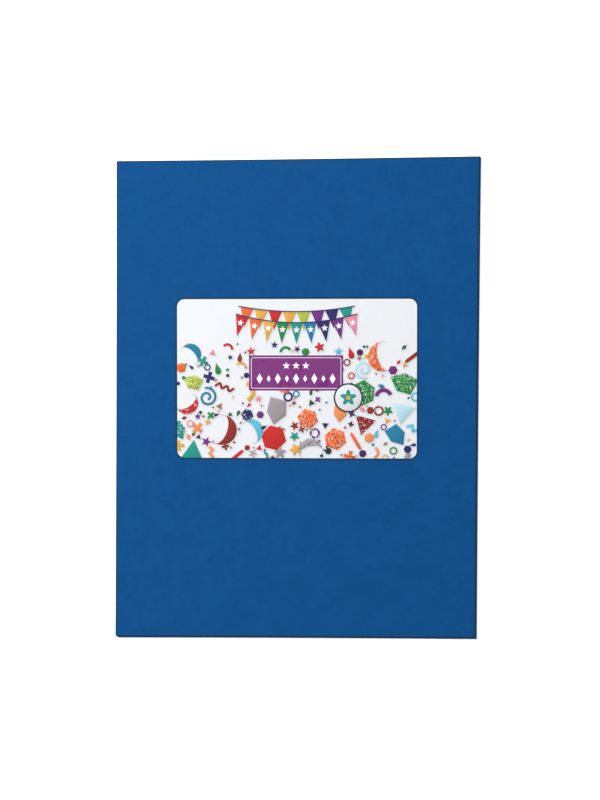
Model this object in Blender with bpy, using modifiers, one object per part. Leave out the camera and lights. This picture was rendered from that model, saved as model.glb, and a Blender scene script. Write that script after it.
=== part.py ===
"""A sheet of blue craft foam lying flat, with the printed paper label stuck to its upper face.

Lengths are in metres. X runs along the short side, Y along the long side and Z up, and the origin is the
middle of the underside.
"""

import math

import bpy
from mathutils import Matrix, Vector

# Foam sheet: its size between opposite edges, and how thick it is
SHEET_WIDTH = 0.2308
SHEET_LENGTH = 0.3048
SHEET_THICKNESS = 0.002

# The sheet is cut a little out of square: from one end to the other, a long edge leans to the right and
# a short edge rises by this much
CUT_LEAN = 0.00174
CUT_RISE = 0.00132

# Corners seen from above: three are as the blade cut them, and the one nearest to -X -Y is worn
CUT_CORNER_RADIUS = 0.0006
WORN_CORNER_RADIUS = 0.0022

# The blade presses the soft foam down along the rim, which leaves both edges slightly round
RIM_ROUNDING = 0.0003
RIM_SEGMENTS = 2

# Paper label: its own size, and how far its middle lies from the sheet's middle
LABEL_WIDTH = 0.1524
LABEL_HEIGHT = 0.101
LABEL_THICKNESS = 0.00012
LABEL_CORNER_RADIUS = 0.0048
LABEL_SHIFT = 0.00025
LABEL_RISE = 0.0133

# Clearance between the foam and the label above it
LABEL_GAP = 0.0003

# How many straight steps make up the arc of one corner
CORNER_STEPS = 8

# Vertices nearer to each other than this are one vertex
MERGE_DISTANCE = 0.00001

# Colours in linear light, and how dull each surface is
FOAM_BLUE = (0.008, 0.088, 0.275)
FOAM_ROUGHNESS = 0.8
PAPER_WHITE = (0.88, 0.89, 0.90)
PAPER_ROUGHNESS = 0.45


def clear_scene():
    """Removes whatever the scene holds, so that the model is built alone."""
    for item in list(bpy.data.objects):
        bpy.data.objects.remove(item, do_unlink=True)


def make_collection(name):
    """A collection of that name, in the scene."""
    collection = bpy.data.collections.new(name)
    bpy.context.scene.collection.children.link(collection)
    return collection


def make_material(name, colour, roughness):
    """A plain non-metal material."""
    material = bpy.data.materials.new(name)
    material.use_nodes = True
    shader = material.node_tree.nodes["Principled BSDF"]
    shader.inputs["Base Color"].default_value = (*colour, 1.0)
    shader.inputs["Roughness"].default_value = roughness
    shader.inputs["Metallic"].default_value = 0.0
    material.diffuse_color = (*colour, 1.0)
    return material


def corner_arc(corner, before, after, radius):
    """Points along the arc that rounds a corner, from the edge towards before to the edge towards after.

    The outline turns left at the corner. The arc's centre lies on the corner's bisector, and the arc
    turns by what is left of half a circle once the corner's own angle is taken away.
    """
    to_before = (before - corner).normalized()
    to_after = (after - corner).normalized()
    half_angle = to_before.angle(to_after) / 2
    centre = corner + (to_before + to_after).normalized() * radius / math.sin(half_angle)
    spoke = corner + to_before * radius / math.tan(half_angle) - centre
    turn = (math.pi - 2 * half_angle) / CORNER_STEPS
    return [centre + Matrix.Rotation(step * turn, 2) @ spoke for step in range(CORNER_STEPS + 1)]


def rounded_outline(corners, radii):
    """Points round a closed outline whose corners, given anticlockwise, are rounded to their radii."""
    points = []
    for index, (corner, radius) in enumerate(zip(corners, radii)):
        after = corners[(index + 1) % len(corners)]
        points += corner_arc(corner, corners[index - 1], after, radius)
    return points


def make_plate(name, outline, thickness, middle, material, collection):
    """A flat plate cut to an outline, with its middle at the given point."""
    curve = bpy.data.curves.new(name, "CURVE")
    curve.dimensions = "2D"
    curve.fill_mode = "BOTH"
    curve.extrude = thickness / 2
    spline = curve.splines.new("POLY")
    spline.points.add(len(outline) - 1)
    for point, place in zip(spline.points, outline):
        point.co = (place.x, place.y, 0.0, 1.0)
    spline.use_cyclic_u = True
    curve.materials.append(material)
    plate = bpy.data.objects.new(name, curve)
    plate.location = middle
    collection.objects.link(plate)
    weld = plate.modifiers.new("close_caps", "WELD")
    weld.merge_threshold = MERGE_DISTANCE
    return plate


def round_rim(plate):
    """Rounds the edges between a plate's faces and its rim."""
    flatten = plate.modifiers.new("one_face_each_side", "DECIMATE")
    flatten.decimate_type = "DISSOLVE"
    flatten.angle_limit = math.radians(1)
    bevel = plate.modifiers.new("rim_rounding", "BEVEL")
    bevel.limit_method = "ANGLE"
    bevel.angle_limit = math.radians(45)
    bevel.width = RIM_ROUNDING
    bevel.segments = RIM_SEGMENTS


def make_foam_sheet(collection):
    """The die-cut foam: the middles of its edges are square to each other, and its corners are shifted."""
    right = SHEET_WIDTH / 2
    top = SHEET_LENGTH / 2
    lean = CUT_LEAN / 2
    rise = CUT_RISE / 2
    corners = [
        Vector((-right - lean, -top - rise)),
        Vector((right - lean, -top + rise)),
        Vector((right + lean, top + rise)),
        Vector((-right + lean, top - rise)),
    ]
    radii = [WORN_CORNER_RADIUS] + 3 * [CUT_CORNER_RADIUS]
    foam = make_material("blue_foam", FOAM_BLUE, FOAM_ROUGHNESS)
    middle = (0.0, 0.0, SHEET_THICKNESS / 2)
    sheet = make_plate(
        "foam_sheet", rounded_outline(corners, radii), SHEET_THICKNESS, middle, foam, collection
    )
    round_rim(sheet)


def make_paper_label(collection):
    """The label, with its four corners cut round, flat above the foam."""
    right = LABEL_WIDTH / 2
    top = LABEL_HEIGHT / 2
    corners = [Vector((-right, -top)), Vector((right, -top)), Vector((right, top)), Vector((-right, top))]
    paper = make_material("label_paper", PAPER_WHITE, PAPER_ROUGHNESS)
    middle = (LABEL_SHIFT, LABEL_RISE, SHEET_THICKNESS + LABEL_GAP + LABEL_THICKNESS / 2)
    outline = rounded_outline(corners, 4 * [LABEL_CORNER_RADIUS])
    make_plate("paper_label", outline, LABEL_THICKNESS, middle, paper, collection)


def main():
    clear_scene()
    collection = make_collection("craft_foam_sheet")
    make_foam_sheet(collection)
    make_paper_label(collection)


main()
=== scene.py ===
"""A sheet of blue craft foam with its printed paper label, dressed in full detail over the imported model.

Lengths are in metres. X runs along the short side, Y along the long side and Z up, and the origin is the
middle of the underside. The foam and the label are surfaces worked out here from the sizes below.
"""

import math

import bpy
import numpy as np
from mathutils import Matrix, Vector
from mathutils.geometry import delaunay_2d_cdt


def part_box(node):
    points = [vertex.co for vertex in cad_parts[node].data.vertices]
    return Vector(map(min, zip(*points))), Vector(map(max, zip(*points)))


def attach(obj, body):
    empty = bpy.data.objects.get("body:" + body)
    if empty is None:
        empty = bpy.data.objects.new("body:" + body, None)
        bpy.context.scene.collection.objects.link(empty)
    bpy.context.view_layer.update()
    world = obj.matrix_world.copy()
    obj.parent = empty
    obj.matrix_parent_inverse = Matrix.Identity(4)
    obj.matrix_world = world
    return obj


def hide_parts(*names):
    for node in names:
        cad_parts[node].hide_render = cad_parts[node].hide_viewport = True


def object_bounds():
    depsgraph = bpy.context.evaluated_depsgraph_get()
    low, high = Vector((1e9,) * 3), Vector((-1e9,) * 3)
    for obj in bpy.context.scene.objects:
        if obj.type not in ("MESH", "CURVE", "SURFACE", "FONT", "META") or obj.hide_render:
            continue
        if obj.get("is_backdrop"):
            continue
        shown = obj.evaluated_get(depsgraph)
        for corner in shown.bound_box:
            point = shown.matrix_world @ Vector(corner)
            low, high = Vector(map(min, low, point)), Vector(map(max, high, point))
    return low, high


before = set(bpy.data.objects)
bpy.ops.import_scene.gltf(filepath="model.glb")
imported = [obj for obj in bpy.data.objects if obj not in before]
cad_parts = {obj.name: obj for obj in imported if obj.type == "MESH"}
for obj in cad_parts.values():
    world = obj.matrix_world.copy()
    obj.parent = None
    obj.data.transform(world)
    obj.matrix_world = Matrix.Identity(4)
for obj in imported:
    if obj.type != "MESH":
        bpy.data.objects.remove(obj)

CAD_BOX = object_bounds()
SHEET_LOW, SHEET_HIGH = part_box("foam_sheet")
LABEL_LOW, LABEL_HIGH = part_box("paper_label")
MM = 0.001

# Foam: how far the cut leans and rises from end to end, which the frame's box includes
CUT_LEAN = 1.74 * MM
CUT_RISE = 1.32 * MM
SHEET_WIDTH = SHEET_HIGH.x - SHEET_LOW.x - CUT_LEAN
SHEET_LENGTH = SHEET_HIGH.y - SHEET_LOW.y - CUT_RISE
SHEET_THICKNESS = SHEET_HIGH.z - SHEET_LOW.z

# Foam: its corners from above, and how far the middle of each edge bows in
WORN_CORNER_RADIUS = 2.2 * MM
CUT_CORNER_RADIUS = 0.6 * MM
LEAST_CORNER_RADIUS = 0.1 * MM
EDGE_BOW = 0.25 * MM

# Foam: how far off the floor it lies at most, and as shares of that its mean, its swing and its least, and
# how long its two swells are, and the short one's share
LYING_LIFT = 0.35 * MM
MEAN_LIFT = 0.5
LIFT_SWING = 0.32
LEAST_LIFT = 0.02
LONG_SWELL = 105 * MM
SHORT_SWELL = 46 * MM
SHORT_SWELL_SHARE = 0.25

# Foam: the rim, from the upper face over the pressed edge and down the cut to the underside. The blade
# went in a little askew, so the upper face lies this far to the left of and behind the underside.
PRESSED_WIDTH = 1.9 * MM
PRESSED_DEPTH = 0.65 * MM
WALL_HOLLOW = 0.12 * MM
LOWER_ROUNDING = 0.2 * MM
BLADE_SKEW = 0.6 * MM

# Foam: how rough the rim is, how long its ripples are, and how far they shift from one row to the next
RIM_ROUGHNESS = 0.035 * MM
RIM_RIPPLE = 13 * MM
RIM_SHIFT = 4 * MM

# Foam: how many steps each part of the rim takes, and how many cells the grid of each face has
PRESSED_STEPS = 7
WALL_ROWS = 5
LOWER_STEPS = 3
CELLS_ACROSS = 156
CELLS_ALONG = 200

# Foam: colours in linear light. The face's blue varies between the plain one and the deep one
FOAM_BLUE = (0.0026, 0.0720, 0.237)
FOAM_DEEP = (0.0021, 0.0647, 0.216)
# The dark blue below is painted shade, laid on the rounded upper edge and on the foam beside the label
PAINTED_SHADE_BLUE = (0.0090, 0.0380, 0.084)
WALL_BLUE = (0.0070, 0.0500, 0.135)

# Foam: the cut share that marks the wall, the shares between which the face's blue turns to the painted
# shade of the rounded upper edge, and how far it turns
WALL_SHARE = 2.0
EDGE_SHADE_START = 0.16
EDGE_SHADE_END = 0.6
EDGE_SHADE_STRENGTH = 0.95

# Foam: how wide its blots, dimples, pits, pores and specks are, and how deep its relief is
BLOT = 16 * MM
SMALL_BLOT = 4 * MM
DULL_BLOT = 1.2 * MM
DIMPLE = 2.6 * MM
DIMPLE_DEPTH = 0.12 * MM
PIT = 0.45 * MM
PIT_DEPTH = 0.08 * MM
PORE = 0.24 * MM
SKIN_PORE_DEPTH = 0.02 * MM
CUT_PORE_DEPTH = 0.14 * MM
SPECK = 0.3 * MM

# Foam: painted shade beside the label, standing in for its contact shadow: how far outside the label it is
# full, where it has faded out, and how strong it is
LABEL_SHADE_START = 0.6 * MM
LABEL_SHADE_END = 1.75 * MM
LABEL_SHADE_STRENGTH = 0.85

# Label: its size and place come from the frame, and it lies down on the foam
LABEL_WIDTH = LABEL_HIGH.x - LABEL_LOW.x
LABEL_HEIGHT = LABEL_HIGH.y - LABEL_LOW.y
LABEL_MIDDLE = np.array([(LABEL_HIGH.x + LABEL_LOW.x) / 2, (LABEL_HIGH.y + LABEL_LOW.y) / 2])
LABEL_THICKNESS = LABEL_HIGH.z - LABEL_LOW.z
LABEL_CORNER_RADIUS = 4.8 * MM
LABEL_SEAT = 0.02 * MM

# Label: how wide the paper's waves, tooth, grain, fibres and dull blots are, how deep its relief is, and
# how wide a flake of glitter is
PAPER_WAVE = 9 * MM
PAPER_WAVE_DEPTH = 0.15 * MM
PAPER_TOOTH = 0.22 * MM
PAPER_TOOTH_DEPTH = 0.012 * MM
PAPER_GRAIN = 0.5 * MM
PAPER_DULL_BLOT = 2 * MM
FIBRE = 0.3 * MM
FIBRE_DEPTH = 0.03 * MM
FLAKE = 0.8 * MM

# Materials: the range that soft noise mostly keeps to
NOISE_RANGE = (0.3, 0.7)

# Printed face: how close its points lie on the paper and along the shapes, how far inside its border the
# loose ones stay, how near to an outline a point counts as on it, and how near two points count as one
PAPER_PITCH = 3.0 * MM
INK_PITCH = 0.8 * MM
BORDER_MARGIN = 0.3 * MM
ON_OUTLINE = 0.001 * MM
ONE_POINT = 0.0001 * MM

# Printed light: the soft shadow of a raised shape, the light and dark along its edge and over all of it,
# and how far from a shape its shadow is looked for
DROP_SHADOW = np.array([0.45 * MM, -0.5 * MM])
DROP_BLUR = 1.2 * MM
DROP_STRENGTH = 0.34
RELIEF_WIDTH = 0.7 * MM
RELIEF_STRENGTH = 0.18
TILT_STRENGTH = 0.16
LIGHT_FROM = np.array([-0.66, 0.75])
SHADE_REACH = 3 * DROP_BLUR

# Scattered shapes: how high up the label they lie, how strongly they crowd towards its lower edge, how
# near two may come as a share of their reaches, how much of its reach one lies clear of the panel, how
# often one that doesn't is kept, how many places are thrown for each, and how strongly one glitters
PRINT_SEED = 12
SCATTER_TOP = 24 * MM
CROWDING = 0.8
NEARNESS = 0.84
PANEL_CLEARANCE = 0.3
KEPT_BEHIND_PANEL = 0.15
THROWS = 100
GLITTER = 0.9

# Garlands: how wide the string is and how many points it has, how far apart the pennants hang as a share of
# their width, and how far down a pennant its star lies and how far that reaches, as shares of its length
STRING_WIDTH = 0.7 * MM
STRING_POINTS = 41
PENNANT_SPACING = 1.04
STAR_DROP = 0.34
STAR_REACH = 0.17

# Panel: its size and place, how well its ink covers, and the line inside its border: how far in it runs,
# how round its corners are, how wide it is and how close its points lie
PANEL_SIZE = np.array([60 * MM, 22.4 * MM])
PANEL_MIDDLE = np.array([-0.3 * MM, 3.6 * MM])
PANEL_COVER = 0.97
PANEL_LINE_INSET = 1.5 * MM
PANEL_LINE_RADIUS = 1.2 * MM
PANEL_LINE_WIDTH = 0.35 * MM
PANEL_LINE_PITCH = 2 * MM

# Badge: its place and radius, how wide its dark rim is and how many corners that has, and how far its
# flower and the flower's core reach
BADGE_MIDDLE = np.array([32.9 * MM, -12.1 * MM])
BADGE_RADIUS = 9.3 * MM
BADGE_RIM = 1.0 * MM
BADGE_RIM_CORNERS = 60
BADGE_FLOWER = 5.2 * MM
BADGE_CORE = 1.5 * MM

# Camera, floor and lights
CAMERA_PLACE = Vector((0.0608, 0.0279, 0.9978))
CAMERA_AIM = Vector((0.00234, -0.0003, 0.0))
CAMERA_LENS = 70.72
KEY_PLACE = Vector((-0.97, 0.81, 0.80))
KEY_SIZE = 0.9
KEY_POWER = 26.0
SKY_STRENGTH = 0.56
FLOOR_WHITE = (0.96, 0.96, 0.96)
FLOOR_GLOW = 0.5
FLOOR_SIDE = 60.0
FLOOR_FLAT = 6.0
FLOOR_RISE = 9.5
FLOOR_CELLS = 60
CLIP_START = 0.01
CLIP_END = 3 * FLOOR_SIDE


def linear(red, green, blue):
    """A colour as a screen shows it, 0 to 255 a channel, turned into linear light."""
    shown = np.array([red, green, blue]) / 255
    return np.where(shown <= 0.04045, shown / 12.92, ((shown + 0.055) / 1.055) ** 2.4)


PAPER = np.array([0.734, 0.753, 0.782])
INKS = {
    "red": linear(188, 36, 32),
    "brick": linear(138, 40, 32),
    "orange": linear(220, 100, 46),
    "apricot": linear(222, 138, 84),
    "gold": linear(212, 160, 66),
    "lime": linear(166, 178, 62),
    "green": linear(32, 128, 58),
    "dark green": linear(16, 88, 48),
    "teal": linear(26, 140, 126),
    "sea": linear(28, 118, 150),
    "sky": linear(92, 176, 204),
    "blue": linear(26, 112, 162),
    "navy": linear(36, 38, 96),
    "purple": linear(108, 38, 118),
    "dark purple": linear(68, 26, 80),
    "pink": linear(222, 130, 152),
    "brown": linear(148, 112, 72),
    "silver": linear(150, 140, 146),
    "plum": linear(115, 22, 112),
    "charcoal": linear(40, 38, 44),
    "ice": linear(172, 210, 220),
    "chalk": linear(214, 216, 222),
    "white": linear(232, 234, 240),
}
LARGEST_INKS = ("green", "orange", "silver", "brick")
LARGE_INKS = (
    "teal", "orange", "sea", "silver", "ice", "red", "lime", "sky", "brick", "green", "apricot", "sea",
    "silver", "orange", "teal", "red",
)
LONG_INKS = (
    "red", "brick", "sky", "gold", "sea", "orange", "dark green", "apricot", "purple", "ice", "brick",
)
BRIGHT_INKS = (
    "red", "gold", "navy", "brick", "green", "apricot", "purple", "silver", "teal", "orange", "sky",
)
SMALL_INKS = (
    "navy", "dark green", "brick", "dark purple", "gold", "charcoal", "red", "purple", "brown", "green",
    "navy", "pink", "dark purple", "sea", "brick", "apricot",
)
FRONT_INKS = ("red", "orange", "gold", "green", "teal", "blue", "navy", "purple", "pink")
BACK_INKS = ("orange", "gold", "red", "gold", "lime", "purple", "navy", "teal")


# Shapes on a grid


def ripples(x, y, wavelength, seed, waves=7):
    """Gentle ups and downs between about -1 and 1: sines that run in different directions, each with a
    wavelength near the one given, added up and divided by the square root of twice their number."""
    dice = np.random.default_rng(seed)
    total = np.zeros(np.broadcast(x, y).shape)
    for _ in range(waves):
        heading = dice.uniform(0, 2 * np.pi)
        pace = 2 * np.pi / (wavelength * dice.uniform(0.75, 1.35))
        phase = dice.uniform(0, 2 * np.pi)
        total += np.sin(pace * (x * np.cos(heading) + y * np.sin(heading)) + phase)
    return total / math.sqrt(2 * waves)


def lying_height(x, y):
    """How far the sheet lies off the floor at a place: its mean lift plus the swing times a long and a
    short swell, which are ripples mixed by their shares, kept between the least lift and the most."""
    long_swell = ripples(x, y, LONG_SWELL, seed=4)
    short_swell = ripples(x, y, SHORT_SWELL, seed=9)
    swell = (1 - SHORT_SWELL_SHARE) * long_swell + SHORT_SWELL_SHARE * short_swell
    return LYING_LIFT * np.clip(MEAN_LIFT + LIFT_SWING * swell, LEAST_LIFT, 1.0)


def grid_faces(first, rows, columns):
    """Four-cornered faces of a grid of points, counted from its first point, facing up."""
    index = first + np.arange((rows + 1) * (columns + 1)).reshape(rows + 1, columns + 1)
    low, high = index[:-1], index[1:]
    return np.stack((low[:, :-1], low[:, 1:], high[:, 1:], high[:, :-1]), axis=-1).reshape(-1, 4)


def mesh_piece(name, vertices, faces, material):
    """A smooth mesh object from whole arrays of vertices and of faces with as many corners each."""
    mesh = bpy.data.meshes.new(name)
    mesh.from_pydata(vertices.tolist(), [], faces.tolist())
    mesh.materials.append(material)
    mesh.shade_smooth()
    mesh.validate()
    piece = bpy.data.objects.new(name, mesh)
    bpy.context.scene.collection.objects.link(piece)
    return piece


def carry(mesh, name, kind, domain, values):
    """Gives a mesh an attribute, from a whole array of its values."""
    attribute = mesh.attributes.new(name, kind, domain)
    attribute.data.foreach_set("color" if kind == "FLOAT_COLOR" else "value", values.ravel())


# Foam


def crowded_steps(cells):
    """Places from -1 to 1 that crowd towards both ends: minus the cosine of evenly spaced angles."""
    return -np.cos(np.linspace(0, np.pi, cells + 1))


def round_corners(u, v, half_u, half_v, inset):
    """Moves the points of a rectangle near its corners, so that each corner is a quarter disc.

    In the square that holds a corner's arc, a point (p, q) counted from the arc's centre goes to
    (p sqrt(1 - q q / 2), q sqrt(1 - p p / 2)), which bends the square's outer sides onto the arc.
    """
    for side_u, side_v in ((-1, -1), (1, -1), (1, 1), (-1, 1)):
        radius = WORN_CORNER_RADIUS if side_u == side_v == -1 else CUT_CORNER_RADIUS
        radius = np.maximum(radius - inset, LEAST_CORNER_RADIUS)
        p = np.clip((side_u * u - half_u) / radius + 1, 0, 1)
        q = np.clip((side_v * v - half_v) / radius + 1, 0, 1)
        u = u + side_u * radius * p * (np.sqrt(1 - q * q / 2) - 1)
        v = v + side_v * radius * q * (np.sqrt(1 - p * p / 2) - 1)
    return u, v


def foam_plan(across, along, inset, height):
    """Where a point of the sheet lies from above.

    across and along run from -1 to 1 over a rectangle that is smaller than the sheet by the inset. Its
    corners are rounded, it leans and rises as it was cut, its edges bow in most at their middles, and it
    moves with its height over the underside because the blade was askew.
    """
    half_u = SHEET_WIDTH / 2 - inset
    half_v = SHEET_LENGTH / 2 - inset
    u, v = round_corners(across * half_u, along * half_v, half_u, half_v, inset)
    x = u + CUT_LEAN * v / SHEET_LENGTH - EDGE_BOW * across * (1 - along ** 2)
    y = v + CUT_RISE * u / SHEET_WIDTH - EDGE_BOW * along * (1 - across ** 2)
    skew = BLADE_SKEW * (height / SHEET_THICKNESS - 0.5)
    return x - skew, y + skew


def foam_points(across, along, inset, height):
    """Points of the foam at an inset from its edge and a height over its underside."""
    x, y = foam_plan(across, along, inset, height)
    return np.stack(np.broadcast_arrays(x, y, height + lying_height(x, y)), axis=-1)


def rim_profile():
    """Inset, height and cut share of the rim's rows, from the upper face's border to the underside's.

    The upper rounding is a quarter of an ellipse. The wall below it is hollow like the arc of a sine,
    and the lower rounding is a quarter circle. The share grows from 0 to 1 over the pressed edge, and it
    is WALL_SHARE from the wall down.
    """
    turn = np.linspace(0, np.pi / 2, PRESSED_STEPS + 1)
    upper_inset = PRESSED_WIDTH * (1 - np.sin(turn))
    upper_height = SHEET_THICKNESS - PRESSED_DEPTH * (1 - np.cos(turn))
    down = np.linspace(0, 1, WALL_ROWS + 2)[1:-1]
    wall_inset = WALL_HOLLOW * np.sin(np.pi * down)
    wall_height = (SHEET_THICKNESS - PRESSED_DEPTH) * (1 - down) + LOWER_ROUNDING * down
    turn = np.linspace(0, np.pi / 2, LOWER_STEPS + 1)
    lower_inset = LOWER_ROUNDING * (1 - np.cos(turn))
    lower_height = LOWER_ROUNDING * (1 - np.sin(turn))
    inset = np.concatenate((upper_inset, wall_inset, lower_inset))
    height = np.concatenate((upper_height, wall_height, lower_height))
    share = np.full(len(inset), WALL_SHARE)
    share[:len(upper_inset)] = 1 - upper_inset / PRESSED_WIDTH
    return inset, height, share


def border_path(rows, columns):
    """Row and column of each border point of a grid, once round against the clock from its first point."""
    row = (np.zeros(columns, int), np.arange(rows), np.full(columns, rows), np.arange(rows, 0, -1))
    column = (np.arange(columns), np.full(rows, columns), np.arange(columns, 0, -1), np.zeros(rows, int))
    return np.concatenate(row), np.concatenate(column)


def rim_points(across, along, inset, height, share):
    """The rim's rows between the two faces: foam_points at each row's inset and height.

    The inset also grows by the size of the ripples, which rise from nothing over the pressed edge as a
    sine and are full on the wall.
    """
    x, y = foam_plan(across, along, inset, height)
    rough = RIM_ROUGHNESS * np.sin(np.pi / 2 * np.minimum(share, 1))
    rough = rough * np.abs(ripples(x + RIM_SHIFT * np.arange(len(x))[:, None], y, RIM_RIPPLE, seed=3))
    return foam_points(across, along, inset + rough, height)


def make_foam(material):
    """The sheet: a grid for each face, and the rim's profile carried along the border between them.

    Every point is foam_points of its place across and along the sheet, its inset and its height.
    """
    across, along = np.meshgrid(crowded_steps(CELLS_ACROSS), crowded_steps(CELLS_ALONG))
    row, column = border_path(CELLS_ALONG, CELLS_ACROSS)
    border = row * (CELLS_ACROSS + 1) + column
    inset, height, share = (rows[:, None] for rows in rim_profile())
    inner = slice(1, -1)
    upper = foam_points(across, along, inset[0], height[0]).reshape(-1, 3)
    rim = rim_points(
        across[row, column][None], along[row, column][None], inset[inner], height[inner], share[inner]
    )
    under = foam_points(across, along, inset[-1], height[-1]).reshape(-1, 3)

    loops = len(upper) + np.arange(rim.shape[0] * rim.shape[1]).reshape(rim.shape[:2])
    under_first = len(upper) + loops.size
    loops = np.concatenate((border[None], loops, under_first + border[None]))
    onward = np.roll(loops, -1, axis=1)
    rim_faces = np.stack((loops[:-1], loops[1:], onward[1:], onward[:-1]), axis=-1).reshape(-1, 4)
    upper_faces = grid_faces(0, CELLS_ALONG, CELLS_ACROSS)
    under_faces = grid_faces(under_first, CELLS_ALONG, CELLS_ACROSS)[:, ::-1]

    vertices = np.concatenate((upper, rim.reshape(-1, 3), under))
    faces = np.concatenate((upper_faces, rim_faces, under_faces))
    foam = mesh_piece("blue_foam_sheet", vertices, faces, material)
    cut = np.zeros(len(vertices))
    cut[loops] = share
    carry(foam.data, "cut_share", "FLOAT", "POINT", cut)
    return foam


# Outlines of the printed motifs, about one unit from their middle to their tips, against the clock


def headings(angle):
    """Points on a circle of one unit: the cosine and the sine of each angle."""
    return np.stack((np.cos(angle), np.sin(angle)), axis=1)


def spokes(reach):
    """A closed outline whose corners lie an equal angle apart, each as far out as reach says."""
    return reach[:, None] * headings(np.pi / 2 + np.arange(len(reach)) * 2 * np.pi / len(reach))


def to_the_right(ahead):
    """The direction to the right of each step, one unit long, or nothing for a step of no length."""
    length = np.linalg.norm(ahead, axis=1, keepdims=True)
    return np.stack((ahead[:, 1], -ahead[:, 0]), axis=1) / np.where(length > 0, length, 1)


def strip(line, width):
    """The outline of a band along a line: the line moved half the width to each side, there and back."""
    side = to_the_right(np.gradient(line, axis=0)) * width / 2
    return np.concatenate((line + side, (line - side)[::-1]))


def widened(outline, distance):
    """An outline whose points are moved out, away from the band between their neighbours."""
    return outline + distance * to_the_right(np.roll(outline, -1, axis=0) - np.roll(outline, 1, axis=0))


def hoop(outline, width):
    """Both outlines of a band round a closed outline: half the width out, and half of it in, reversed."""
    return np.stack((widened(outline, width / 2), widened(outline, -width / 2)[::-1]))


def triangle():
    """Three corners an equal way out."""
    return spokes(np.ones(3))


def scrap():
    """A lopsided five-cornered offcut: corners at unlike reaches."""
    return spokes(np.array([1.0, 0.72, 0.9, 0.98, 0.66]))


def hexagon():
    """Six corners an equal way out."""
    return spokes(np.ones(6))


def diamond(waist=0.58):
    """Two tips and, between them, two corners as far out as the waist."""
    return spokes(np.tile((1.0, waist), 2))


def star(tips=5, waist=0.44):
    """Tips and notches in turn, the notches as far out as the waist."""
    return spokes(np.tile((1.0, waist), tips))


def flower(petals=5, swell=0.24, corners=50):
    """A round outline whose reach swells and shrinks once for each petal, as a cosine."""
    angle = np.arange(corners) * 2 * np.pi / corners
    return spokes(1 - swell + swell * np.cos(petals * angle))


def plus(arm=0.32):
    """Two crossed bars: the three corners of one quarter, turned four times by a right angle."""
    quarter = np.array([[1.0, -arm], [1.0, arm], [arm, arm]])
    turn = np.array([[0.0, 1.0], [-1.0, 0.0]])
    return np.concatenate([quarter @ np.linalg.matrix_power(turn, k) for k in range(4)])


def half_moon(half_angle=0.62 * np.pi, flatness=0.52, shift=-0.17, corners=24):
    """An outer arc there, and back along the same arc made flatter and shifted."""
    outer = headings(np.linspace(-half_angle, half_angle, corners))
    inner = outer * (flatness, 1) + (shift, 0)
    return np.concatenate((outer, inner[-2:0:-1]))


def arch(reach=0.78, width=0.42, turn=0.83 * np.pi, points=20):
    """A band along a part of a circle."""
    return strip(reach * headings(np.linspace(0, turn, points)), width)


def zigzag(turns=6, rise=0.24, width=0.3, points=31):
    """A band along a line that goes down and up in straight stretches."""
    place = np.linspace(0, turns - 1, points)
    height = np.interp(place, np.arange(turns), np.tile((-rise, rise), turns // 2))
    return strip(np.stack((np.linspace(-1, 1, points), height), axis=1), width)


def wave(rise=0.2, waves=2.6, width=0.26, points=26):
    """A band along a sine."""
    x = np.linspace(-1, 1, points)
    return strip(np.stack((x, rise * np.sin(waves * np.pi * x)), axis=1), width)


def stick(rise=0.17, corners=32):
    """A long bar with round ends: x to the sixth and y squared, both over their reach, add up to one."""
    x, y = headings(np.arange(corners) * 2 * np.pi / corners).T
    return np.stack((np.sign(x) * np.abs(x) ** (1 / 3), rise * y), axis=1)


def drop(width=0.75, corners=33):
    """A drop: x is the sine of the angle times the sine of half of it, squared, and y is its cosine."""
    angle = np.arange(1, corners) * 2 * np.pi / corners
    return np.stack((-width * np.sin(angle) * np.sin(angle / 2) ** 2, np.cos(angle)), axis=1)


def disc(corners=48):
    """A circle."""
    return spokes(np.ones(corners))


def ring(reach=0.8, width=0.4, corners=32):
    """A band right round a circle."""
    return hoop(spokes(np.full(corners, reach)), width)


def curl(start=0.16, growth=0.72, width=0.22, points=40):
    """A band along a spiral of one turn and a half, whose reach grows evenly with the angle."""
    angle = np.linspace(0, 3 * np.pi, points)
    reach = start + growth * angle / angle[-1]
    return strip(reach[:, None] * headings(angle), width)


def block(width, height, radius=0.0, corners=40):
    """A rectangle of its real size, with sharp corners or with round ones.

    The points of a circle are shared out over the corners of a core that is smaller by the radius.
    """
    count = corners if radius else 4
    circle = headings((np.arange(count) + 0.5) * 2 * np.pi / count)
    return np.sign(circle) * (np.array([width, height]) / 2 - radius) + radius * circle


def placed(outline, size, angle, middle):
    """An outline made so large, turned against the clock and moved to its place on the label."""
    turn = np.array([[math.cos(angle), math.sin(angle)], [-math.sin(angle), math.cos(angle)]])
    return size * outline @ turn + np.asarray(middle)


def with_steps(outline, pitch):
    """An outline with points added along its sides, so that none lie further apart than the pitch."""
    side = np.roll(outline, -1, axis=0) - outline
    count = np.maximum(1, np.ceil(np.linalg.norm(side, axis=1) / pitch)).astype(int)
    corner = np.repeat(np.arange(len(outline)), count)
    step = np.arange(count.sum()) - np.repeat(np.cumsum(count) - count, count)
    return outline[corner] + side[corner] * (step / count[corner])[:, None]


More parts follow.
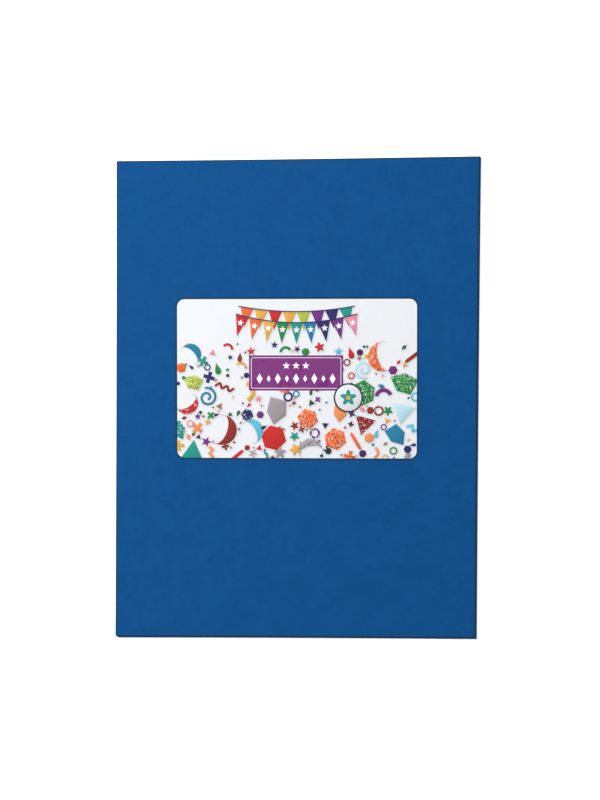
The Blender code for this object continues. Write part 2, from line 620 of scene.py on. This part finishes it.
def way_out(points, outlines):
    """How far each point lies outside a shape, less than nothing inside, and which way is out.

    The distance is to the nearest place on any side. A point is inside if the outlines wind round it. The
    way out is along the line to that place, or square to the side for a point that lies on it.
    """
    side = np.concatenate([np.roll(outline, -1, axis=0) - outline for outline in outlines])
    from_corner = points[:, None] - np.concatenate(outlines)[None]
    share = np.clip((from_corner * side).sum(2) / (side ** 2).sum(1), 0, 1)
    gap = from_corner - share[..., None] * side
    distance = np.sqrt((gap ** 2).sum(2))
    nearest = distance.argmin(1)
    pick = np.arange(len(points))
    lies_left = side[:, 0] * from_corner[..., 1] - side[:, 1] * from_corner[..., 0] > 0
    above_start = from_corner[..., 1] >= 0
    above_end = from_corner[..., 1] - side[:, 1] >= 0
    winding = (above_start & ~above_end & lies_left).sum(1) - (~above_start & above_end & ~lies_left).sum(1)
    sign = np.where(winding != 0, -1.0, 1.0)
    reach = distance[pick, nearest]
    apart = sign[:, None] * gap[pick, nearest] / np.maximum(reach, ON_OUTLINE)[:, None]
    return sign * reach, np.where(reach[:, None] < ON_OUTLINE, to_the_right(side)[nearest], apart)


# Label


class Motif:
    """One printed shape: its outlines on the label, its ink, how much it glitters, if it looks raised, and
    how much of what lies under it the ink covers. A band right round has two outlines, and others one."""

    def __init__(self, outline, ink, glitter=0.0, raised=True, cover=1.0):
        loops = outline.reshape(-1, *outline.shape[-2:])
        self.outlines = [with_steps(loop, INK_PITCH) for loop in loops]
        self.ink = INKS[ink]
        self.glitter = glitter
        self.raised = raised
        self.cover = cover


def scattered_motifs():
    """Loose craft shapes over the lower three quarters of the label, thicker towards its lower edge.

    The largest are laid first. Each kind says how many there are, their least and greatest reach in
    millimetres, the share of them that glitters, and their shapes and inks, which take turns.
    """
    kinds = (
        (4, 9.0, 11.0, 0.8, (scrap, half_moon), LARGEST_INKS),
        (16, 6.4, 8.4, 0.5, (triangle, hexagon, scrap, half_moon), LARGE_INKS),
        (12, 5.4, 7.2, 0.0, (stick, wave, zigzag, arch, curl), LONG_INKS),
        (34, 3.0, 4.2, 0.25, (star, flower, plus, ring, drop, arch, hexagon), BRIGHT_INKS),
        (60, 1.8, 2.7, 0.0, (star, diamond, hexagon, triangle, plus, drop, ring), SMALL_INKS),
        (60, 0.8, 1.3, 0.0, (diamond, hexagon, triangle, star), SMALL_INKS),
    )
    dice = np.random.default_rng(PRINT_SEED)
    motifs, taken = [], []
    for count, least, greatest, glittering, shapes, inks in kinds:
        for index in range(count):
            size = dice.uniform(least, greatest) * MM
            place = free_place(dice, size, taken)
            if place is None:
                continue
            taken.append((*place, size))
            outline = placed(shapes[index % len(shapes)](), size, dice.uniform(0, 2 * np.pi), place)
            glitter = GLITTER if dice.random() < glittering else 0.0
            motifs.append(Motif(outline, inks[index % len(inks)], glitter))
    return motifs


def free_place(dice, size, taken):
    """A place for a shape that covers little of the earlier ones, or nothing if no throw finds one.

    Most places that the panel would mostly hide are thrown again too.
    """
    earlier = np.array(taken).reshape(-1, 3)
    top = SCATTER_TOP - size
    for _ in range(THROWS):
        x = dice.uniform(-LABEL_WIDTH / 2, LABEL_WIDTH / 2)
        y = top - (top + LABEL_HEIGHT / 2) * dice.random() ** CROWDING
        apart = np.hypot(x - earlier[:, 0], y - earlier[:, 1])
        beyond = (np.abs(np.array([x, y]) - PANEL_MIDDLE) - PANEL_SIZE / 2).max()
        shown = beyond > PANEL_CLEARANCE * size or dice.random() < KEPT_BEHIND_PANEL
        if shown and (apart > NEARNESS * (earlier[:, 2] + size)).all():
            return x, y
    return None


def garland(middle, half, sag, inks, width, length, starred):
    """A string of pennants: the string hangs in a parabola, and each pennant hangs square to it."""
    bend = 2 * sag / half ** 2
    x = np.linspace(-half, half, STRING_POINTS)
    line = np.stack((x, x * x * bend / 2), axis=1) + middle
    pennant = np.array([[-width / 2, 0.0], [0.0, -length], [width / 2, 0.0]])
    row = PENNANT_SPACING * width * (len(inks) - 1) / 2
    motifs = []
    for x, ink in zip(np.linspace(-row, row, len(inks)), inks):
        angle = math.atan(bend * x)
        hung = middle + np.array([x, x * x * bend / 2])
        motifs.append(Motif(placed(pennant, 1.0, angle, hung), ink))
        if starred:
            centre = hung + STAR_DROP * length * np.array([math.sin(angle), -math.cos(angle)])
            motifs.append(Motif(placed(star(), STAR_REACH * length, angle, centre), "white", raised=False))
    return motifs + [Motif(strip(line, STRING_WIDTH), "navy")]


def garland_motifs():
    """Two garlands across the top, one before the other."""
    back = garland(
        middle=np.array([0.0, 42.5 * MM]), half=37 * MM, sag=3.5 * MM,
        inks=BACK_INKS, width=8.6 * MM, length=12 * MM, starred=False,
    )
    front = garland(
        middle=np.array([0.0, 35.5 * MM]), half=38.5 * MM, sag=5.5 * MM,
        inks=FRONT_INKS, width=8.3 * MM, length=13.5 * MM, starred=True,
    )
    return back + front


def panel_row(shape, count, spacing, height, sizes):
    """A level row of white shapes about the panel's middle, at a height over it. Their sizes take turns."""
    motifs = []
    for index in range(count):
        middle = PANEL_MIDDLE + np.array([(index - (count - 1) / 2) * spacing, height])
        outline = placed(shape(), sizes[index % len(sizes)], 0.0, middle)
        motifs.append(Motif(outline, "white", raised=False))
    return motifs


def panel_motifs():
    """The panel: a purple field with a thin pale line inside its border and two rows of plain shapes."""
    field = Motif(block(*PANEL_SIZE) + PANEL_MIDDLE, "plum", raised=False, cover=PANEL_COVER)
    line = with_steps(block(*(PANEL_SIZE - 2 * PANEL_LINE_INSET), PANEL_LINE_RADIUS), PANEL_LINE_PITCH)
    border = Motif(hoop(line, PANEL_LINE_WIDTH) + PANEL_MIDDLE, "white", raised=False)
    stars = panel_row(star, count=3, spacing=6.2 * MM, height=4.6 * MM, sizes=(2.5 * MM,))
    diamonds = panel_row(diamond, count=9, spacing=5.8 * MM, height=-3.6 * MM, sizes=(3.3 * MM, 2.2 * MM))
    return [field, border] + stars + diamonds


def badge_motifs():
    """A white disc with a dark rim and a flower in it."""
    rim = hoop(spokes(np.full(BADGE_RIM_CORNERS, BADGE_RADIUS - BADGE_RIM / 2)), BADGE_RIM)
    return [
        Motif(placed(disc(), BADGE_RADIUS, 0.0, BADGE_MIDDLE), "chalk"),
        Motif(rim + BADGE_MIDDLE, "charcoal", raised=False),
        Motif(placed(flower(), BADGE_FLOWER, 0.0, BADGE_MIDDLE), "teal", raised=False),
        Motif(placed(hexagon(), BADGE_CORE, 0.0, BADGE_MIDDLE), "gold", raised=False),
    ]


def label_outline():
    """The label's border: a rectangle with round corners, with points close enough to bend with the foam."""
    return with_steps(block(LABEL_WIDTH, LABEL_HEIGHT, LABEL_CORNER_RADIUS), PAPER_PITCH)


def paper_points(motifs, border):
    """Points that carry the print's shading: a grid over the paper, and rings in and round each motif."""
    across = np.arange(-LABEL_WIDTH / 2, LABEL_WIDTH / 2, PAPER_PITCH) + PAPER_PITCH / 2
    along = np.arange(-LABEL_HEIGHT / 2, LABEL_HEIGHT / 2, PAPER_PITCH) + PAPER_PITCH / 2
    points = [np.stack(np.meshgrid(across, along), axis=-1).reshape(-1, 2)]
    for outline in [outline for motif in motifs if motif.raised for outline in motif.outlines]:
        points.append(widened(outline, -RELIEF_WIDTH / 2))
        points.append(widened(outline, DROP_BLUR / 2) + DROP_SHADOW)
        points.append(widened(outline, DROP_BLUR) + DROP_SHADOW)
    points = np.concatenate(points)
    return points[way_out(points, [border])[0] < -BORDER_MARGIN]


def cut_paper(motifs, border):
    """Triangles of the paper's face, with a side along every outline: a Delaunay mesh held to them.

    It is worked out in millimetres.
    """
    outlines = [border] + [outline for motif in motifs for outline in motif.outlines]
    points = np.concatenate(outlines + [paper_points(motifs, border)]) / MM
    sides, first = [], 0
    for outline in outlines:
        index = first + np.arange(len(outline))
        sides.append(np.stack((index, np.roll(index, -1)), axis=1))
        first += len(outline)
    sides = np.concatenate(sides)
    found = delaunay_2d_cdt(points.tolist(), sides.tolist(), [], 0, ONE_POINT / MM, False)
    points, triangles = np.array(found[0]) * MM, np.array(found[2])
    inside = way_out(points[triangles].mean(1), [border])[0] < 0
    used, triangles = np.unique(triangles[inside], return_inverse=True)
    return points[used], triangles.reshape(-1, 3)


def paint_paper(motifs, points, triangles):
    """Colour and glitter of each corner of each triangle, with the motifs painted one over the other.

    A raised motif first darkens what lies under its soft shadow, which fades evenly over its blur. Its
    own ink is lighter where the way out faces the light and darker where it faces away, and this fades
    inwards over the relief's width. The whole motif also grows evenly lighter towards the light.
    """
    colour = np.broadcast_to(PAPER, (len(triangles), 3, 3)).copy()
    glitter = np.zeros((len(triangles), 3))
    middles = points[triangles].mean(1)
    for motif in motifs:
        corner = np.concatenate(motif.outlines)
        low, high = corner.min(0) - SHADE_REACH, corner.max(0) + SHADE_REACH
        near = np.flatnonzero(((middles > low) & (middles < high)).all(1))
        if not len(near):
            continue
        corners = points[triangles[near]]
        covered = way_out(middles[near], motif.outlines)[0] < 0
        ink = np.broadcast_to(motif.ink, (len(near), 3, 3)).copy()
        if motif.raised:
            beyond = way_out(corners.reshape(-1, 2) - DROP_SHADOW, motif.outlines)[0].reshape(-1, 3)
            shade = DROP_STRENGTH * np.clip((DROP_BLUR - beyond) / (2 * DROP_BLUR), 0, 1)
            colour[near] *= (1 - shade)[..., None]
            beyond, out = way_out(corners.reshape(-1, 2), motif.outlines)
            facing = (out @ LIGHT_FROM) * np.exp(np.minimum(beyond, 0) / RELIEF_WIDTH)
            middle = corner.mean(0)
            tilt = (corners - middle) @ LIGHT_FROM / np.abs(corner - middle).max()
            ink *= (1 + RELIEF_STRENGTH * facing.reshape(-1, 3) + TILT_STRENGTH * tilt)[..., None]
        hidden = near[covered]
        colour[hidden] += motif.cover * (ink[covered] - colour[hidden])
        glitter[hidden] += motif.cover * (motif.glitter - glitter[hidden])
    return colour, glitter


def sharpen_border(mesh, triangles):
    """Marks the edges that belong to one triangle alone, so that the face doesn't shade into its rim."""
    used = np.sort(np.stack((triangles, np.roll(triangles, -1, axis=1)), axis=-1).reshape(-1, 2), axis=1)
    sides, count = np.unique(used, axis=0, return_counts=True)
    lonely = sides[count == 1] @ (len(mesh.vertices), 1)
    ends = np.zeros(2 * len(mesh.edges), int)
    mesh.edges.foreach_get("vertices", ends)
    sharp = np.isin(np.sort(ends.reshape(-1, 2), axis=1) @ (len(mesh.vertices), 1), lonely)
    carry(mesh, "sharp_edge", "BOOLEAN", "EDGE", sharp)


def make_label(paper, backing):
    """The label: its printed face bent to the foam's upper face, thickened downwards as paper.

    Each point is its place on the label, raised to the sheet's height there plus the seat and the paper.
    """
    motifs = scattered_motifs() + garland_motifs() + panel_motifs() + badge_motifs()
    points, triangles = cut_paper(motifs, label_outline())
    colour, glitter = paint_paper(motifs, points, triangles)
    place = points + LABEL_MIDDLE
    height = SHEET_THICKNESS + lying_height(*place.T) + LABEL_SEAT + LABEL_THICKNESS
    label = mesh_piece("printed_label", np.column_stack((place, height)), triangles, paper)
    sharpen_border(label.data, triangles)
    label.data.materials.append(backing)
    opacity = np.ones((*colour.shape[:2], 1))
    carry(label.data, "ink", "FLOAT_COLOR", "CORNER", np.concatenate((colour, opacity), axis=2))
    carry(label.data, "glitter", "FLOAT", "CORNER", glitter)
    paper_body = label.modifiers.new("paper_body", "SOLIDIFY")
    paper_body.thickness = LABEL_THICKNESS
    paper_body.offset = -1.0
    paper_body.material_offset = 1
    paper_body.material_offset_rim = 1
    return label


# Materials


class Shading:
    """A material's nodes, with short calls for the ones used here."""

    def __init__(self, name):
        self.material = bpy.data.materials.new(name)
        self.material.use_nodes = True
        self.tree = self.material.node_tree
        self.shader = self.tree.nodes["Principled BSDF"]

    def feed(self, socket, value):
        """Puts a number, a colour or another node's output into a socket."""
        if isinstance(value, bpy.types.NodeSocket):
            self.tree.links.new(value, socket)
        else:
            socket.default_value = value

    def add(self, kind, inputs=(), **settings):
        """A new node with its settings and its inputs, which are given by name or by number."""
        node = self.tree.nodes.new(kind)
        for name, value in settings.items():
            setattr(node, name, value)
        for name, value in dict(inputs).items():
            self.feed(node.inputs[name], value)
        return node

    def math(self, operation, *values):
        """The result of one sum."""
        return self.add("ShaderNodeMath", enumerate(values), operation=operation).outputs[0]

    def vector(self, operation, *values, output="Vector"):
        """The result of one sum with vectors."""
        return self.add("ShaderNodeVectorMath", enumerate(values), operation=operation).outputs[output]

    def spread(self, value, source, target=(0.0, 1.0)):
        """A value taken from one range to another and held inside it."""
        ends = zip(("From Min", "From Max", "To Min", "To Max"), (*source, *target))
        return self.add("ShaderNodeMapRange", {"Value": value, **dict(ends)}).outputs[0]

    def from_noise(self, noise, target=(0.0, 1.0)):
        """Soft noise taken from the range that it mostly keeps to."""
        return self.spread(noise, NOISE_RANGE, target)

    def mix(self, share, first, second, blend="MIX"):
        """Two colours mixed."""
        inputs = {0: share, 6: first, 7: second}
        return self.add("ShaderNodeMix", inputs, data_type="RGBA", blend_type=blend).outputs[2]

    def dimmed(self, colour, factor, share=1.0):
        """A colour times a number, or only a share of that."""
        grey = self.add("ShaderNodeCombineColor", {0: factor, 1: factor, 2: factor}).outputs[0]
        return self.mix(share, colour, grey, "MULTIPLY")

    def place(self):
        """Where a point lies on the object."""
        return self.add("ShaderNodeTexCoord").outputs["Object"]

    def clouds(self, size, detail=2.0, roughness=0.5):
        """Soft noise from 0 to 1 with blots about as wide as the size."""
        inputs = {"Vector": self.place(), "Scale": 1 / size, "Detail": detail, "Roughness": roughness}
        return self.add("ShaderNodeTexNoise", inputs).outputs["Fac"]

    def cells(self, size, output="Distance"):
        """Cells about as wide as the size: the distance from each one's middle, or its own colour."""
        inputs = {"Vector": self.place(), "Scale": 1 / size}
        return self.add("ShaderNodeTexVoronoi", inputs).outputs[output]

    def bump(self, height, depth, strength, below=None):
        """A bump of a real depth, laid over an earlier one if there is one."""
        inputs = {"Height": height, "Distance": depth, "Strength": strength}
        if below is not None:
            inputs["Normal"] = below
        return self.add("ShaderNodeBump", inputs).outputs[0]

    def attribute(self, name, output="Fac"):
        """A value or colour that the mesh carries."""
        return self.add("ShaderNodeAttribute", attribute_name=name).outputs[output]

    def finish(self, **inputs):
        """Fills the shader's sockets, whose names are given with low lines for spaces."""
        for name, value in inputs.items():
            self.feed(self.shader.inputs[name.replace("_", " ")], value)
        return self.material


def opaque(colour):
    """A colour with full opacity."""
    return (*colour, 1.0)


def label_painted_shade(foam):
    """How much painted shade darkens the foam beside the label, standing in for the label's contact shadow.

    A point's distance from the label is its distance past the label's core, a rectangle smaller by the
    corner radius, less that radius. The shade is full up to its start distance outside the label and fades
    out by its end distance. It fades under the label too, and there is none in the lower half of the sheet.
    """
    core = (LABEL_WIDTH / 2 - LABEL_CORNER_RADIUS, LABEL_HEIGHT / 2 - LABEL_CORNER_RADIUS, 1.0)
    offset = foam.vector("SUBTRACT", foam.place(), (*LABEL_MIDDLE, 0.0))
    past = foam.vector("SUBTRACT", foam.vector("ABSOLUTE", offset), core)
    past = foam.vector("MAXIMUM", past, (0.0, 0.0, 0.0))
    outside = foam.math("SUBTRACT", foam.vector("LENGTH", past, output="Value"), LABEL_CORNER_RADIUS)
    height = foam.add("ShaderNodeSeparateXYZ", {0: foam.place()}).outputs["Z"]
    painted_shade = foam.spread(outside, (LABEL_SHADE_START, LABEL_SHADE_END), (LABEL_SHADE_STRENGTH, 0.0))
    painted_shade = foam.math("MULTIPLY", painted_shade, foam.spread(outside, (-LABEL_SHADE_END, -LABEL_SHADE_START)))
    return foam.math("MULTIPLY", painted_shade, foam.spread(height, (SHEET_THICKNESS / 2, SHEET_THICKNESS)))


def foam_colour(foam, cut, pores):
    """The foam's blue: faint blots, painted shade beside the label, painted shade on the rounded upper edges
    and the cut wall.

    Specks of random tone vary all of it, and the pores darken it as painted shade in their hollows, darkest
    where the foam is cut.
    """
    blots = foam.math("ADD", foam.clouds(BLOT, detail=3.0), foam.clouds(SMALL_BLOT))
    colour = foam.mix(foam.spread(blots, (0.75, 1.25)), opaque(FOAM_DEEP), opaque(FOAM_BLUE))
    # Painted shade beside the label, standing in for its contact shadow
    colour = foam.mix(label_painted_shade(foam), colour, opaque(PAINTED_SHADE_BLUE))
    # Painted shade on the rounded upper edge, deepening as the rim turns down
    dark = foam.spread(cut, (EDGE_SHADE_START, EDGE_SHADE_END), (0.0, EDGE_SHADE_STRENGTH))
    colour = foam.mix(dark, colour, opaque(PAINTED_SHADE_BLUE))
    colour = foam.mix(foam.spread(cut, (1.0, WALL_SHARE)), colour, opaque(WALL_BLUE))
    specks = foam.from_noise(foam.clouds(SPECK, detail=3.0, roughness=0.7), (0.93, 1.06))
    # Painted shade in the pores, deepest on the cut wall
    darkest = foam.spread(cut, (0.3, 1.0), (0.97, 0.6))
    pore_shade = foam.spread(pores, (0.0, 0.3), (darkest, 1.0))
    return foam.dimmed(colour, foam.math("MULTIPLY", specks, pore_shade))


def foam_material():
    """Closed-cell foam: a dull blue with a skin of fine dimples, pits and pores, deeper where it is cut."""
    foam = Shading("craft_foam")
    cut = foam.attribute("cut_share")
    pores = foam.cells(PORE)
    relief = foam.bump(foam.clouds(DIMPLE), DIMPLE_DEPTH, strength=0.35)
    relief = foam.bump(foam.cells(PIT), PIT_DEPTH, strength=0.5, below=relief)
    pore_depth = foam.spread(cut, (0.2, 1.0), (SKIN_PORE_DEPTH, CUT_PORE_DEPTH))
    relief = foam.bump(pores, pore_depth, strength=0.7, below=relief)
    return foam.finish(
        Base_Color=foam_colour(foam, cut, pores),
        Roughness=foam.from_noise(foam.clouds(DULL_BLOT, detail=3.0), (0.68, 0.82)),
        Normal=relief,
        Specular_IOR_Level=0.09,
        Metallic=0.0,
    )


def paper_colour(paper):
    """The print as the mesh carries it, faintly grainy. Where a motif glitters, flakes of unlike
    brightness stand in its ink, and the brightest are nearly white."""
    glitter = paper.attribute("glitter")
    flakes = paper.add("ShaderNodeSeparateColor", {0: paper.cells(FLAKE, "Color")})
    shine = paper.spread(flakes.outputs[0], (0.0, 1.0), (0.4, 1.5))
    colour = paper.dimmed(paper.attribute("ink", "Color"), shine, glitter)
    spark = paper.math("MULTIPLY", paper.spread(flakes.outputs[1], (0.78, 0.84), (0.0, 0.6)), glitter)
    colour = paper.mix(spark, colour, (0.7, 0.72, 0.75, 1.0))
    return paper.dimmed(colour, paper.from_noise(paper.clouds(PAPER_GRAIN, detail=3.0), (0.965, 1.02)))


def paper_material():
    """Label paper: the print on a matt coat with faint waves and a fine tooth."""
    paper = Shading("printed_paper")
    relief = paper.bump(paper.clouds(PAPER_WAVE), PAPER_WAVE_DEPTH, strength=0.25)
    tooth = paper.clouds(PAPER_TOOTH, detail=3.0, roughness=0.6)
    relief = paper.bump(tooth, PAPER_TOOTH_DEPTH, strength=0.5, below=relief)
    return paper.finish(
        Base_Color=paper_colour(paper),
        Roughness=paper.from_noise(paper.clouds(PAPER_DULL_BLOT, detail=3.0), (0.5, 0.6)),
        Normal=relief,
        Specular_IOR_Level=0.3,
        Metallic=0.0,
    )


def backing_material():
    """The label's cut edge and glued side: plain paper fibre."""
    backing = Shading("label_backing")
    fibres = backing.clouds(FIBRE, detail=3.0, roughness=0.6)
    grey, pale = opaque((0.66, 0.66, 0.66)), opaque((0.76, 0.765, 0.77))
    return backing.finish(
        Base_Color=backing.mix(backing.from_noise(fibres), grey, pale),
        Roughness=0.8,
        Normal=backing.bump(fibres, FIBRE_DEPTH, strength=0.5),
        Specular_IOR_Level=0.3,
    )


def floor_material():
    """Plain white paper of the backdrop, which glows a little so that it stays white."""
    floor = Shading("pale_floor")
    return floor.finish(
        Base_Color=opaque(FLOOR_WHITE),
        Roughness=0.9,
        Specular_IOR_Level=0.0,
        Emission_Color=opaque(FLOOR_WHITE),
        Emission_Strength=FLOOR_GLOW,
    )


# Stage


def make_floor():
    """The pale floor that the sheet lies on, which sweeps up far away all round.

    It is level as far out as FLOOR_FLAT. Beyond, its height grows with the square of the distance from
    there, and reaches FLOOR_RISE at the middle of each side.
    """
    steps = np.linspace(-FLOOR_SIDE / 2, FLOOR_SIDE / 2, FLOOR_CELLS + 1)
    x, y = np.meshgrid(steps, steps)
    beyond = np.maximum(np.hypot(x, y) - FLOOR_FLAT, 0.0) / (FLOOR_SIDE / 2 - FLOOR_FLAT)
    points = np.stack((x, y, FLOOR_RISE * beyond ** 2), axis=-1).reshape(-1, 3)
    floor = mesh_piece("floor", points, grid_faces(0, FLOOR_CELLS, FLOOR_CELLS), floor_material())
    floor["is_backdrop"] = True


def make_lights():
    """Soft light from all over the room, and a large soft lamp to the left of and behind the sheet."""
    world = bpy.data.worlds.new("studio")
    world.use_nodes = True
    sky = world.node_tree.nodes["Background"]
    sky.inputs["Color"].default_value = (1.0, 1.0, 1.0, 1.0)
    sky.inputs["Strength"].default_value = SKY_STRENGTH
    bpy.context.scene.world = world
    lamp = bpy.data.lights.new("key_light", "AREA")
    lamp.shape = "SQUARE"
    lamp.size = KEY_SIZE
    lamp.energy = KEY_POWER
    key = bpy.data.objects.new("key_light", lamp)
    key.location = KEY_PLACE
    key.rotation_euler = (-KEY_PLACE).to_track_quat("-Z", "Y").to_euler()
    bpy.context.scene.collection.objects.link(key)


def make_camera():
    """The camera over the sheet, with the sheet's long side upright in the picture."""
    lens = bpy.data.cameras.new("camera")
    lens.lens = CAMERA_LENS
    lens.clip_start = CLIP_START
    lens.clip_end = CLIP_END
    camera = bpy.data.objects.new("camera", lens)
    back = (CAMERA_PLACE - CAMERA_AIM).normalized()
    right = Vector((0.0, 1.0, 0.0)).cross(back).normalized()
    turn = Matrix((right, back.cross(right), back)).transposed()
    camera.matrix_world = Matrix.Translation(CAMERA_PLACE) @ turn.to_4x4()
    bpy.context.scene.collection.objects.link(camera)
    bpy.context.scene.camera = camera


make_camera()
make_floor()
make_lights()

foam_piece = make_foam(foam_material())
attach(foam_piece, "root")
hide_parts("foam_sheet")

label_piece = make_label(paper_material(), backing_material())
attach(label_piece, "root")
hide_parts("paper_label")

bpy.context.scene.view_settings.view_transform = "Standard"

boxes = {"cad": CAD_BOX, "scene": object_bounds()}
boxes = {name: [list(corner) for corner in box] for name, box in boxes.items()}
